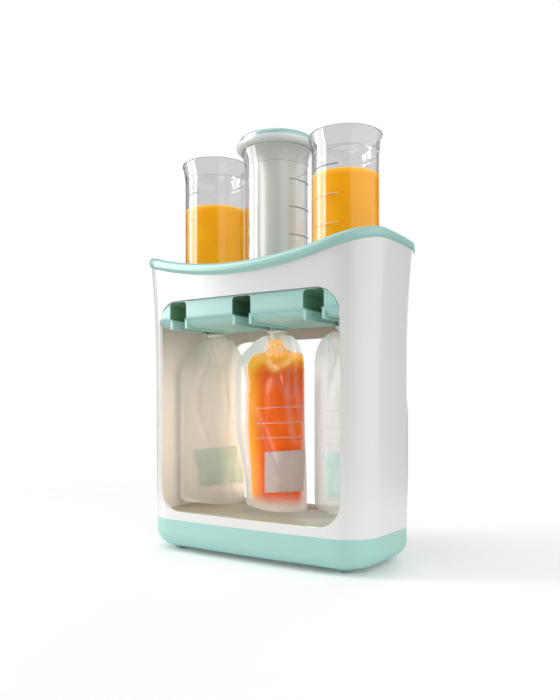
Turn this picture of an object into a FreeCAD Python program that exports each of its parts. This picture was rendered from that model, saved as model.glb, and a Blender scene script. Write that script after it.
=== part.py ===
import FreeCAD, Part
import math
import os

import MeshPart
import Sketcher
from FreeCAD import Placement, Rotation, Vector

# Food pouch filling station, as a parametric document in millimetres.
# X runs along the width, Y from the open front to the back, Z up; the origin is
# the middle of the footprint on the table.

doc = FreeCAD.newDocument("pouch_filling_station")
sheet = doc.addObject("Spreadsheet::Sheet", "Sizes")

DRIVING_SIZES = {
    # Plan of the moulded housing at the seam between base and shell
    "seam_half_width": 101.2,
    "seam_half_depth": 49.2,
    "corner_radius": 27.0,
    "front_bow_radius": 1600.0,
    "side_bow_radius": 420.0,
    "wall": 2.5,
    # Heights of the housing
    "base_underside": 3.0,
    "base_edge_radius": 13.0,
    "seam_height": 26.1,
    "floor_top": 29.6,
    "floor_skirt_bottom": 19.0,
    # Flare of the shell: how far its side stands out of the seam plan
    "waist_height": 95.0,
    "waist_flare": 0.8,
    "chest_height": 150.0,
    "chest_flare": 0.9,
    "shoulder_height": 190.0,
    "shoulder_flare": 1.9,
    "neck_height": 218.0,
    "neck_flare": 3.6,
    "collar_height": 243.0,
    "collar_flare": 6.0,
    # Saddle rim
    "saddle_low": 225.0,
    "saddle_radius": 315.0,
    "rim_band": 8.6,
    "rim_flare": 6.6,
    "rim_round": 3.4,
    "deck_bottom": 206.0,
    "deck_top": 208.6,
    "socket_clearance": 0.4,
    "socket_wall": 2.4,
    "socket_top": 216.0,
    "tray_wall": 2.2,
    # Openings of the shell
    "window_half_width": 82.5,
    "window_bottom": 32.9,
    "front_window_top": 200.7,
    "rear_window_top": 174.7,
    "window_corner": 18.5,
    # Rail under the deck
    "rail_nose": 48.7,
    "rail_window_gap": 0.5,
    "rail_bottom": 180.5,
    "rail_back": 16.0,
    "rail_nose_round": 8.0,
    "rail_roof_bottom": 199.8,
    "rail_roof_top": 203.0,
    "ledge_top": 186.5,
    "ledge_bottom": 178.6,
    "lip_setback": 0.8,
    "fit_gap": 0.3,
    "channel_half_width": 8.5,
    "channel_corner": 3.0,
    "slot_half_width": 6.5,
    "outlet_hole_radius": 8.0,
    # Measuring tubes
    "tube_pitch": 62.3,
    "tube_radius": 25.9,
    "tube_wall": 1.5,
    "tube_top": 320.5,
    "tube_flare_start": 305.0,
    "tube_rim_radius": 28.4,
    "tube_floor": 209.5,
    "tube_foot_bevel": 3.0,
    "tube_lip": 0.9,
    "funnel_depth": 3.5,
    "outlet_radius": 5.6,
    "outlet_bore": 3.4,
    "outlet_tip": 197.5,
    "puree_level_left": 282.0,
    "puree_level_right": 290.0,
    # Press
    "press_cap_radius": 33.0,
    "press_cap_bottom": 325.0,
    "press_cap_top": 330.0,
    "press_flange_bottom": 320.7,
    "press_shaft_radius": 15.5,
    "press_shaft_wall": 2.5,
    "press_shaft_bottom": 222.0,
    "press_cap_edge": 1.2,
    "press_cap_side": 3.2,
    "trumpet_start": 298.0,
    "trumpet_radius": 23.6,
    "press_flange_radius": 29.5,
    "piston_clearance": 0.08,
    "piston_tip": 207.1,
    "piston_bottom": 210.4,
    "piston_band": 3.0,
    "piston_waist_radius": 21.5,
    "piston_plug": 9.0,
    # Pouches
    "pouch_half_width": 30.5,
    "pouch_half_fill": 15.6,
    "pouch_half_empty": 3.6,
    "pouch_bottom": 34.2,
    "pouch_fill_top": 156.0,
    "pouch_neck_bottom": 163.0,
    "pouch_neck_top": 174.0,
    "film": 0.5,
    "spout_flange_radius": 8.2,
    "spout_neck_radius": 6.1,
    "spout_thread_radius": 5.7,
    "spout_bore": 4.0,
    "spout_top": 196.9,
    "spout_flange": 2.2,
    "spout_bevel": 0.4,
    # Feet
    "foot_radius": 7.0,
    "foot_spread_x": 76.0,
    "foot_spread_y": 27.0,
    "foot_edge": 1.5,
    # Blanks and cutting tools, larger than what they shape
    "blank_height": 60.0,
    "tool_reach": 120.0,
    "tool_top": 260.0,
    "tool_overrun": 5.0,
}

for row, (alias, value) in enumerate(DRIVING_SIZES.items(), start=1):
    sheet.set(f"A{row}", alias)
    sheet.set(f"B{row}", str(value))
    sheet.setAlias(f"B{row}", alias)
doc.recompute()


def size(alias):
    """Driving dimension as it stands in the sheet."""
    return float(sheet.get(alias))


def plane(body, role):
    """Origin plane of a body, such as XY_Plane."""
    for feature in body.Origin.OriginFeatures:
        if feature.Role == role:
            return feature
    raise ValueError(role)


def new_body(label):
    body = doc.addObject("PartDesign::Body", label)
    body.Label = label
    return body


def new_sketch(name, body=None, role="XY_Plane", offset=None):
    """Sketch in a body on one of its origin planes, or a free sketch.

    offset is an expression: the distance from the plane along its normal.
    """
    if body is None:
        sketch = doc.addObject("Sketcher::SketchObject", name)
        if role == "XZ_Plane":
            sketch.Placement = Placement(Vector(0, 0, 0), Rotation(Vector(1, 0, 0), 90))
        if offset:
            axis = "y" if role == "XZ_Plane" else "z"
            sketch.setExpression(f"Placement.Base.{axis}", offset)
        return sketch
    sketch = body.newObject("Sketcher::SketchObject", name)
    sketch.AttachmentSupport = [(plane(body, role), "")]
    sketch.MapMode = "FlatFace"
    if offset:
        sketch.setExpression("AttachmentOffset.Base.z", offset)
    return sketch


def bind(sketch, index, name, expression):
    sketch.renameConstraint(index, name)
    sketch.setExpression(f"Constraints.{name}", expression)


# Plan outline: four shallow bows joined by round corners, all offsets concentric

CORNER_ROUNDS = 60


def corner_centre():
    """Centre of the rear right corner arc, tangent to the rear and right bows."""
    reach_front = size("front_bow_radius") - size("corner_radius")
    reach_side = size("side_bow_radius") - size("corner_radius")
    rear_centre_y = size("seam_half_depth") - size("front_bow_radius")
    side_centre_x = size("seam_half_width") - size("side_bow_radius")
    x = size("seam_half_width") - size("corner_radius")
    y = size("seam_half_depth") - size("corner_radius")
    for _ in range(CORNER_ROUNDS):
        x = side_centre_x + math.sqrt(reach_side ** 2 - y ** 2)
        y = rear_centre_y + math.sqrt(reach_front ** 2 - x ** 2)
    return x, y


CORNER_X, CORNER_Y = corner_centre()


def outline(name, grow, body=None, height=None):
    """Plan outline of the housing, grown outward by the expression grow."""
    sketch = new_sketch(name, body, "XY_Plane", height)
    sheet.set("D1", f"={grow}")
    doc.recompute([sheet])
    step = float(sheet.get("D1"))
    rear = Vector(0, size("seam_half_depth") - size("front_bow_radius"), 0)
    right = Vector(size("seam_half_width") - size("side_bow_radius"), 0, 0)
    bow = size("front_bow_radius") + step
    side = size("side_bow_radius") + step
    corner = size("corner_radius") + step
    turn_side = math.atan2(CORNER_Y, CORNER_X - right.x)
    turn_rear = math.atan2(CORNER_Y - rear.y, CORNER_X)
    quarter = math.pi / 2
    half = math.pi
    flat = quarter - turn_rear
    arcs = [
        (right, side, -turn_side, turn_side),
        (Vector(CORNER_X, CORNER_Y, 0), corner, turn_side, turn_rear),
        (rear, bow, turn_rear, turn_rear + 2 * flat),
        (Vector(-CORNER_X, CORNER_Y, 0), corner, half - turn_rear, half - turn_side),
        (-right, side, half - turn_side, half + turn_side),
        (Vector(-CORNER_X, -CORNER_Y, 0), corner, half + turn_side, half + turn_rear),
        (-rear, bow, half + turn_rear, half + turn_rear + 2 * flat),
        (Vector(CORNER_X, -CORNER_Y, 0), corner, -turn_rear, -turn_side),
    ]
    up = Vector(0, 0, 1)
    for centre, radius, start, end in arcs:
        sketch.addGeometry(Part.ArcOfCircle(Part.Circle(centre, up, radius), start, end), False)
    for index in range(8):
        sketch.addConstraint(Sketcher.Constraint("Tangent", index, 2, (index + 1) % 8, 1))
    for index in (0, 4):
        sketch.addConstraint(Sketcher.Constraint("PointOnObject", index, 3, -1))
    for index in (2, 6):
        sketch.addConstraint(Sketcher.Constraint("PointOnObject", index, 3, -2))
    side_gap = "Sizes.side_bow_radius - Sizes.seam_half_width"
    bow_gap = "Sizes.front_bow_radius - Sizes.seam_half_depth"
    number = sketch.addConstraint(Sketcher.Constraint("DistanceX", 0, 3, -1, 1, -right.x))
    bind(sketch, number, "right_centre", side_gap)
    number = sketch.addConstraint(Sketcher.Constraint("DistanceX", -1, 1, 4, 3, -right.x))
    bind(sketch, number, "left_centre", side_gap)
    number = sketch.addConstraint(Sketcher.Constraint("DistanceY", 2, 3, -1, 1, -rear.y))
    bind(sketch, number, "rear_centre", bow_gap)
    number = sketch.addConstraint(Sketcher.Constraint("DistanceY", -1, 1, 6, 3, -rear.y))
    bind(sketch, number, "front_centre", bow_gap)
    for index, word, base, radius in (
        (0, "side_radius", "Sizes.side_bow_radius", side),
        (2, "bow_radius", "Sizes.front_bow_radius", bow),
        (1, "corner_radius", "Sizes.corner_radius", corner),
    ):
        number = sketch.addConstraint(Sketcher.Constraint("Radius", index, radius))
        bind(sketch, number, word, f"{base} + ({grow})")
    for first, second in ((0, 4), (2, 6), (1, 3), (1, 5), (1, 7)):
        sketch.addConstraint(Sketcher.Constraint("Equal", first, second))
    return sketch


def window(name, top, inset="0", body=None, bottom="Sizes.window_bottom", offset=None):
    """Upright rounded rectangle, the form of both openings of the shell."""
    sketch = new_sketch(name, body, "XZ_Plane", offset)
    for cell, expression in (("D1", top), ("D2", bottom), ("D3", inset)):
        sheet.set(cell, f"={expression}")
    doc.recompute([sheet])
    high, low, gap = (float(sheet.get(cell)) for cell in ("D1", "D2", "D3"))
    wide = size("window_half_width") - gap
    high -= gap
    low += gap
    radius = size("window_corner") - gap
    up = Vector(0, 0, 1)
    quarter = math.pi / 2
    corners = ((1, 1, 0), (-1, 1, 1), (-1, -1, 2), (1, -1, 3))
    for across, rise, turn in corners:
        centre = Vector(across * (wide - radius), (high if rise > 0 else low) - rise * radius, 0)
        start = turn * quarter
        circle = Part.Circle(centre, up, radius)
        sketch.addGeometry(Part.ArcOfCircle(circle, start, start + quarter), False)
    for index in range(4):
        first = sketch.Geometry[index].EndPoint
        second = sketch.Geometry[(index + 1) % 4].StartPoint
        sketch.addGeometry(Part.LineSegment(first, second), False)
    for index in range(4):
        sketch.addConstraint(Sketcher.Constraint("Tangent", index, 2, 4 + index, 1))
        sketch.addConstraint(Sketcher.Constraint("Tangent", 4 + index, 2, (index + 1) % 4, 1))
    sketch.addConstraint(Sketcher.Constraint("Horizontal", 4))
    sketch.addConstraint(Sketcher.Constraint("Vertical", 5))
    for index in (1, 2, 3):
        sketch.addConstraint(Sketcher.Constraint("Equal", 0, index))
    number = sketch.addConstraint(Sketcher.Constraint("Radius", 0, radius))
    bind(sketch, number, "corner", f"Sizes.window_corner - ({inset})")
    number = sketch.addConstraint(Sketcher.Constraint("DistanceX", -1, 1, 0, 1, wide))
    bind(sketch, number, "right_side", f"Sizes.window_half_width - ({inset})")
    number = sketch.addConstraint(Sketcher.Constraint("DistanceX", 1, 2, -1, 1, wide))
    bind(sketch, number, "left_side", f"Sizes.window_half_width - ({inset})")
    number = sketch.addConstraint(Sketcher.Constraint("DistanceY", -1, 1, 0, 2, high))
    bind(sketch, number, "top_side", f"{top} - ({inset})")
    number = sketch.addConstraint(Sketcher.Constraint("DistanceY", -1, 1, 2, 2, low))
    bind(sketch, number, "bottom_side", f"{bottom} + ({inset})")
    return sketch


SADDLE_REACH = 125.0
SADDLE_CEILING = 320.0


def saddle_rise(reach):
    """Rise of the saddle above its low point at a distance from the middle."""
    radius = size("saddle_radius")
    return radius - math.sqrt(radius ** 2 - reach ** 2)


def above_saddle(name, drop, body=None):
    """Everything over the saddle curve, lowered by the expression drop."""
    sketch = new_sketch(name, body, "XZ_Plane")
    sheet.set("D1", f"={drop}")
    doc.recompute([sheet])
    low = size("saddle_low") - float(sheet.get("D1"))
    radius = size("saddle_radius")
    edge = low + saddle_rise(SADDLE_REACH)
    angle = math.asin(SADDLE_REACH / radius)
    circle = Part.Circle(Vector(0, low + radius, 0), Vector(0, 0, 1), radius)
    start = 1.5 * math.pi
    sketch.addGeometry(Part.ArcOfCircle(circle, start - angle, start + angle), False)
    path = [
        Vector(SADDLE_REACH, edge, 0),
        Vector(SADDLE_REACH, SADDLE_CEILING, 0),
        Vector(-SADDLE_REACH, SADDLE_CEILING, 0),
        Vector(-SADDLE_REACH, edge, 0),
    ]
    for first, second in zip(path, path[1:]):
        sketch.addGeometry(Part.LineSegment(first, second), False)
    for index in range(4):
        sketch.addConstraint(Sketcher.Constraint("Coincident", index, 2, (index + 1) % 4, 1))
    sketch.addConstraint(Sketcher.Constraint("PointOnObject", 0, 3, -2))
    sketch.addConstraint(Sketcher.Constraint("Vertical", 1))
    sketch.addConstraint(Sketcher.Constraint("Horizontal", 2))
    sketch.addConstraint(Sketcher.Constraint("Vertical", 3))
    number = sketch.addConstraint(Sketcher.Constraint("Radius", 0, radius))
    bind(sketch, number, "saddle_radius", "Sizes.saddle_radius")
    number = sketch.addConstraint(Sketcher.Constraint("DistanceY", -1, 1, 0, 3, low + radius))
    bind(sketch, number, "centre_height", f"Sizes.saddle_low - ({drop}) + Sizes.saddle_radius")
    for index, side in ((1, 1), (3, -1)):
        ends = (-1, 1, index, 2) if side > 0 else (index, 1, -1, 1)
        sketch.addConstraint(Sketcher.Constraint("DistanceX", *ends, SADDLE_REACH))
    sketch.addConstraint(Sketcher.Constraint("DistanceY", -1, 1, 1, 2, SADDLE_CEILING))
    return sketch


def extrude(label, sketch, length, upright=True):
    """Solid swept from a free sketch by an expression, up or towards the back."""
    solid = doc.addObject("Part::Extrusion", label)
    solid.Base = sketch
    solid.DirMode = "Custom"
    solid.Dir = Vector(0, 0, 1) if upright else Vector(0, 1, 0)
    solid.Solid = True
    solid.setExpression("LengthFwd", length)
    return solid


def cylinder(label, radius, bottom, top, x="0", y="0"):
    solid = doc.addObject("Part::Cylinder", label)
    solid.setExpression("Radius", radius)
    solid.setExpression("Height", f"({top}) - ({bottom})")
    solid.setExpression("Placement.Base.x", x)
    solid.setExpression("Placement.Base.y", y)
    solid.setExpression("Placement.Base.z", bottom)
    return solid


def box(label, low, high):
    """Box between two corners given as expressions."""
    solid = doc.addObject("Part::Box", label)
    for word, axis, first, last in zip(("Length", "Width", "Height"), "xyz", low, high):
        solid.setExpression(word, f"({last}) - ({first})")
        solid.setExpression(f"Placement.Base.{axis}", first)
    return solid


def fuse(label, shapes):
    solid = doc.addObject("Part::MultiFuse", label)
    solid.Shapes = shapes
    return solid


def cut(label, base, tool):
    solid = doc.addObject("Part::Cut", label)
    solid.Base = base
    solid.Tool = tool
    return solid


def round_edges(label, base, radius, chosen):
    """Fillet the edges of base that the test chosen picks."""
    doc.recompute()
    numbers = [n for n, edge in enumerate(base.Shape.Edges, start=1) if chosen(edge)]
    solid = doc.addObject("Part::Fillet", label)
    solid.Base = base
    solid.Edges = [(number, radius, radius) for number in numbers]
    return solid


def counter_clockwise_arc(start, middle, end):
    """Arc through three points that turns left on its way."""
    bend = Part.Arc(start, middle, end).toShape().Curve
    centre = bend.Center
    first = math.atan2(start.y - centre.y, start.x - centre.x)
    last = math.atan2(end.y - centre.y, end.x - centre.x)
    if last < first:
        last += 2 * math.pi
    circle = Part.Circle(centre, Vector(0, 0, 1), bend.Radius)
    return Part.ArcOfCircle(circle, first, last)


def profile_sketch(name, body, points, arcs=()):
    """Half section in the XZ plane for a revolved piece.

    points are pairs of expressions, radius and height, in order round the section;
    arcs maps the number of a side to the radius and height of its middle point.
    """
    sketch = new_sketch(name, body, "XZ_Plane")
    cells = []
    for radius, height in points:
        sheet.set("D1", f"={radius}")
        sheet.set("D2", f"={height}")
        doc.recompute([sheet])
        cells.append(Vector(float(sheet.get("D1")), float(sheet.get("D2")), 0))
    count = len(cells)
    arcs = dict(arcs)
    ends = []
    for index in range(count):
        first = cells[index]
        last = cells[(index + 1) % count]
        if index not in arcs:
            sketch.addGeometry(Part.LineSegment(first, last), False)
            ends.append((1, 2))
            continue
        middle = Vector(arcs[index][0], arcs[index][1], 0)
        left_turn = (middle - first).cross(last - middle).z > 0
        start, end = (first, last) if left_turn else (last, first)
        sketch.addGeometry(counter_clockwise_arc(start, middle, end), False)
        ends.append((1, 2) if left_turn else (2, 1))
    for index in range(count):
        follow = (index + 1) % count
        sketch.addConstraint(
            Sketcher.Constraint("Coincident", index, ends[index][1], follow, ends[follow][0])
        )
    for index, (radius, height) in enumerate(points):
        point = ends[index][0]
        if cells[index].x < 1e-9:
            sketch.addConstraint(Sketcher.Constraint("PointOnObject", index, point, -2))
        else:
            number = sketch.addConstraint(
                Sketcher.Constraint("DistanceX", -1, 1, index, point, cells[index].x)
            )
            bind(sketch, number, f"radius_{index}", radius)
        number = sketch.addConstraint(
            Sketcher.Constraint("DistanceY", -1, 1, index, point, cells[index].y)
        )
        bind(sketch, number, f"height_{index}", height)
    for index, (radius, height) in arcs.items():
        curve = sketch.Geometry[index]
        number = sketch.addConstraint(Sketcher.Constraint("Radius", index, curve.Radius))
        sketch.renameConstraint(number, f"curve_{index}")
    return sketch


def turned(label, points, arcs=(), x="0"):
    """Body revolved about its own upright axis, placed at x."""
    body = new_body(label)
    sketch = profile_sketch(f"{label}_section", body, points, arcs)
    turn = body.newObject("PartDesign::Revolution", f"{label}_turn")
    turn.Profile = sketch
    turn.ReferenceAxis = (sketch, ["V_Axis"])
    turn.Angle = 360.0
    body.Tip = turn
    body.setExpression("Placement.Base.x", x)
    return body


SIDES = {"left": "-Sizes.tube_pitch", "middle": "0", "right": "Sizes.tube_pitch"}
nodes = []


def keep(solid, label):
    """Give a finished sub-part its name and note it for writing."""
    solid.Label = label
    nodes.append(solid)
    return solid


# Base: a shallow tub whose lower edge turns in, closed by the compartment floor

def make_base():
    body = new_body("base_tray")
    plan = outline("base_plan", "0", body, "Sizes.base_underside")
    pad = body.newObject("PartDesign::Pad", "base_block")
    pad.Profile = plan
    pad.setExpression("Length", "Sizes.seam_height - Sizes.base_underside")
    doc.recompute()
    low = size("base_underside")
    names = [
        f"Edge{n}"
        for n, edge in enumerate(pad.Shape.Edges, start=1)
        if edge.BoundBox.ZMax < low + 0.01
    ]
    bend = body.newObject("PartDesign::Fillet", "base_edge")
    bend.Base = (pad, names)
    bend.setExpression("Radius", "Sizes.base_edge_radius")
    doc.recompute()
    high = size("seam_height")
    top = [
        f"Face{n}"
        for n, face in enumerate(bend.Shape.Faces, start=1)
        if face.BoundBox.ZMin > high - 0.01
    ]
    hollow = body.newObject("PartDesign::Thickness", "base_hollow")
    hollow.Base = (bend, top)
    hollow.setExpression("Value", "Sizes.wall")
    hollow.Reversed = True
    body.Tip = hollow
    keep(body, "base_tray")

    body = new_body("floor_plate")
    plan = outline("floor_plan", "-Sizes.wall - Sizes.fit_gap", body, "Sizes.floor_skirt_bottom")
    pad = body.newObject("PartDesign::Pad", "floor_block")
    pad.Profile = plan
    pad.setExpression("Length", "Sizes.floor_top - Sizes.floor_skirt_bottom")
    inside = outline("floor_inside", "-2 * Sizes.wall", body, "Sizes.floor_skirt_bottom")
    pocket = body.newObject("PartDesign::Pocket", "floor_underside")
    pocket.Profile = inside
    pocket.setExpression("Length", "Sizes.floor_top - Sizes.floor_skirt_bottom - Sizes.wall")
    pocket.Reversed = True
    body.Tip = pocket
    keep(body, "floor_plate")


def make_feet():
    """Four soft pads under the base, bevelled at the lower edge."""
    places = {
        "front_left": ("-Sizes.foot_spread_x", "-Sizes.foot_spread_y"),
        "front_right": ("Sizes.foot_spread_x", "-Sizes.foot_spread_y"),
        "rear_left": ("-Sizes.foot_spread_x", "Sizes.foot_spread_y"),
        "rear_right": ("Sizes.foot_spread_x", "Sizes.foot_spread_y"),
    }
    section = [
        ("0", "0"),
        ("Sizes.foot_radius - Sizes.foot_edge", "0"),
        ("Sizes.foot_radius", "Sizes.foot_edge"),
        ("Sizes.foot_radius", "Sizes.base_underside"),
        ("0", "Sizes.base_underside"),
    ]
    for place, (x, y) in places.items():
        body = turned(f"foot_{place}", section, (), x)
        body.setExpression("Placement.Base.y", y)
        keep(body, f"foot_{place}")


# Shell: one flared tube of plan outlines, cut by the saddle and two windows

def make_shell():
    body = new_body("body_shell")
    levels = [
        ("seam", "0", "Sizes.seam_height"),
        ("waist", "Sizes.waist_flare", "Sizes.waist_height"),
        ("chest", "Sizes.chest_flare", "Sizes.chest_height"),
        ("shoulder", "Sizes.shoulder_flare", "Sizes.shoulder_height"),
        ("neck", "Sizes.neck_flare", "Sizes.neck_height"),
        ("collar", "Sizes.collar_flare", "Sizes.collar_height"),
    ]
    outside = [outline(f"{word}_outside", grow, body, z) for word, grow, z in levels]
    inside = [
        outline(f"{word}_inside", f"{grow} - Sizes.wall", body, z) for word, grow, z in levels
    ]
    flare = body.newObject("PartDesign::AdditiveLoft", "shell_flare")
    flare.Profile = outside[0]
    flare.Sections = outside[1:]
    hollow = body.newObject("PartDesign::SubtractiveLoft", "shell_hollow")
    hollow.Profile = inside[0]
    hollow.Sections = inside[1:]
    saddle = above_saddle("shell_saddle", "Sizes.rim_band", body)
    trim = body.newObject("PartDesign::Pocket", "shell_top_edge")
    trim.Profile = saddle
    trim.Type = "ThroughAll"
    trim.Midplane = True
    front = window("front_opening", "Sizes.front_window_top", "0", body)
    open_front = body.newObject("PartDesign::Pocket", "shell_front_window")
    open_front.Profile = front
    open_front.Type = "ThroughAll"
    open_front.Reversed = True
    rear = window("rear_opening", "Sizes.rear_window_top", "0", body)
    open_rear = body.newObject("PartDesign::Pocket", "shell_rear_window")
    open_rear.Profile = rear
    open_rear.Type = "ThroughAll"
    body.Tip = open_rear
    keep(body, "body_shell")


# Top tray: saddle-shaped rolled rim, recessed deck and three tube sockets

def make_top_tray():
    block = extrude(
        "rim_block",
        outline("rim_plan", "Sizes.rim_flare", None, "Sizes.deck_bottom"),
        "Sizes.blank_height",
    )
    through = "2 * Sizes.tool_reach"
    over = extrude("over_rim", above_saddle("over_rim_curve", "0"), through, False)
    under_curve = above_saddle("under_rim_curve", "Sizes.rim_band")
    under = extrude("not_under_rim", under_curve, through, False)
    for tool in (over, under):
        tool.setExpression("Placement.Base.y", "-Sizes.tool_reach")
    capped = cut("rim_capped", block, over)
    band = doc.addObject("Part::Common", "rim_band_solid")
    band.Base = capped
    band.Tool = under

    def on_outline(edge):
        spread = edge.BoundBox
        return spread.XLength + spread.YLength > size("rim_round")

    rolled = round_edges("rim_rolled", band, size("rim_round"), on_outline)
    skirt_plan = outline("skirt_plan", "0", None, "Sizes.deck_bottom")
    skirt = extrude("skirt_block", skirt_plan, "Sizes.blank_height")
    skirt_capped = cut("skirt_capped", skirt, doc.copyObject(over, True))
    tray = fuse("tray_solid", [rolled, skirt_capped])
    recess_plan = outline("recess_plan", "-Sizes.tray_wall", None, "Sizes.deck_top")
    recess = extrude("tray_recess", recess_plan, "Sizes.blank_height")
    opened = cut("tray_opened", tray, recess)
    collars = []
    holes = []
    for side, x in SIDES.items():
        bore = "Sizes.tube_radius + Sizes.socket_clearance"
        collars.append(
            cylinder(
                f"socket_{side}", f"{bore} + Sizes.socket_wall",
                "Sizes.rail_roof_top", "Sizes.socket_top", x,
            )
        )
        holes.append(
            cylinder(
                f"socket_hole_{side}", bore,
                "Sizes.rail_roof_top - Sizes.tool_overrun", "Sizes.tool_top", x,
            )
        )
    with_collars = fuse("tray_with_sockets", [opened] + collars)
    holes = fuse("tray_socket_holes", holes)
    return keep(cut("top_tray", with_collars, holes), "top_tray")


# Rail: ceiling of the compartment with three hanging channels for the pouch necks

def channel(label, half_width, bottom, top, x):
    """Straight run from the front that ends in a half round at the tube axis."""
    run = box(
        f"{label}_run",
        (f"{x} - {half_width}", "-Sizes.tool_reach", bottom),
        (f"{x} + {half_width}", "0", top),
    )
    end = cylinder(f"{label}_end", half_width, bottom, top, x)
    whole = fuse(label, [run, end])
    whole.Refine = True
    return whole


def round_ceiling(name, run):
    """Round the upper corners of a channel all the way round."""
    doc.recompute()
    ceiling = run.Shape.BoundBox.ZMax - 0.01
    mouth = 0.01 - size("tool_reach")

    def upper(edge):
        spread = edge.BoundBox
        return spread.ZMin > ceiling and spread.YMax > mouth

    return round_edges(name, run, size("channel_corner"), upper)


def make_rail():
    nose = extrude(
        "rail_nose_block",
        window("rail_nose_form", "Sizes.front_window_top", "Sizes.rail_window_gap", None,
               "Sizes.rail_bottom - Sizes.window_corner - Sizes.tool_overrun",
               "-Sizes.rail_nose"),
        "Sizes.rail_nose + Sizes.rail_back",
        False,
    )
    waste = box(
        "rail_waste",
        ("-Sizes.tool_reach", "-Sizes.tool_reach", "Sizes.rail_bottom - Sizes.blank_height"),
        ("Sizes.tool_reach", "Sizes.tool_reach", "Sizes.rail_bottom"),
    )
    block = cut("rail_block", nose, waste)
    front = -size("rail_nose")
    low = size("rail_bottom")

    def lower_front(edge):
        spread = edge.BoundBox
        return spread.YMax < front + 0.01 and spread.ZMax < low + 0.01

    rounded = round_edges("rail_rounded", block, size("rail_nose_round"), lower_front)
    roof = extrude(
        "rail_roof",
        outline("rail_roof_plan", "Sizes.shoulder_flare - Sizes.wall - Sizes.fit_gap", None,
                "Sizes.rail_roof_bottom"),
        "Sizes.rail_roof_top - Sizes.rail_roof_bottom",
    )
    ledges = []
    cuts = []
    for side, x in SIDES.items():
        lip = channel(
            f"lip_{side}", "Sizes.channel_half_width", "Sizes.ledge_bottom", "Sizes.ledge_top", x
        )
        trim = box(
            f"lip_trim_{side}",
            ("-Sizes.tool_reach", "-2 * Sizes.tool_reach", "0"),
            ("Sizes.tool_reach", "Sizes.lip_setback - Sizes.rail_nose", "Sizes.tool_top"),
        )
        ledges.append(cut(f"ledge_{side}", lip, trim))
        run = channel(
            f"channel_{side}", "Sizes.channel_half_width",
            "Sizes.ledge_top", "Sizes.rail_roof_bottom", x,
        )
        cuts.append(round_ceiling(f"channel_hollow_{side}", run))
        middle = "(Sizes.ledge_top + Sizes.rail_roof_bottom) / 2"
        cuts.append(
            channel(
                f"slot_{side}", "Sizes.slot_half_width",
                "Sizes.ledge_bottom - Sizes.tool_overrun", middle, x,
            )
        )
        cuts.append(
            cylinder(f"outlet_hole_{side}", "Sizes.outlet_hole_radius",
                     middle, "Sizes.rail_roof_top + Sizes.tool_overrun", x)
        )
    solid = fuse("rail_solid", [rounded, roof] + ledges)
    return keep(cut("pouch_rail", solid, fuse("rail_cuts", cuts)), "pouch_rail")


# Measuring tubes, each with a flared mouth and a funnel floor

# Middle of the flare's bend, outside and inside: how far out and how high
FLARE_BEND = ((0.75, 8.6), (0.85, 9.0))
FOOD_GAP = 0.05


def make_tubes():
    inner = "Sizes.tube_radius - Sizes.tube_wall"
    section = [
        ("Sizes.outlet_bore", "Sizes.outlet_tip"),
        ("Sizes.outlet_radius", "Sizes.outlet_tip"),
        ("Sizes.outlet_radius", "Sizes.rail_roof_top"),
        ("Sizes.tube_radius - Sizes.tube_foot_bevel", "Sizes.rail_roof_top"),
        ("Sizes.tube_radius", "Sizes.rail_roof_top + Sizes.tube_foot_bevel"),
        ("Sizes.tube_radius", "Sizes.tube_flare_start"),
        ("Sizes.tube_rim_radius", "Sizes.tube_top - Sizes.tube_lip"),
        ("Sizes.tube_rim_radius - Sizes.tube_lip", "Sizes.tube_top"),
        (inner, "Sizes.tube_flare_start"),
        (inner, "Sizes.tube_floor"),
        ("Sizes.outlet_bore", "Sizes.tube_floor - Sizes.funnel_depth"),
    ]
    flare = size("tube_flare_start")
    inside = size("tube_radius") - size("tube_wall")
    (outer_step, outer_rise), (inner_step, inner_rise) = FLARE_BEND
    arcs = {
        5: (size("tube_radius") + outer_step, flare + outer_rise),
        7: (inside + inner_step, flare + inner_rise),
    }
    for side, x in SIDES.items():
        keep(turned(f"tube_{side}", section, arcs, x), f"tube_{side}")
    fill = f"Sizes.tube_radius - Sizes.tube_wall - {FOOD_GAP}"
    outlet_top = f"Sizes.tube_floor - Sizes.funnel_depth + {2 * FOOD_GAP}"
    for side in ("left", "right"):
        level = f"Sizes.puree_level_{side}"
        portion = [
            ("0", outlet_top),
            ("Sizes.outlet_bore", outlet_top),
            (fill, f"Sizes.tube_floor + {2 * FOOD_GAP}"),
            (fill, level),
            ("0", level),
        ]
        keep(turned(f"tube_puree_{side}", portion, (), SIDES[side]), f"tube_puree_{side}")


# Press: padded cap, hollow shaft with a trumpet head, and a wiping piston

# Middle of the trumpet's bend and of the flange's round edge: radius and height
TRUMPET_BEND = (17.1, 311.5)
FLANGE_BEND = (31.7, 322.2)
PLUG_GAP = 0.1


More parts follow.
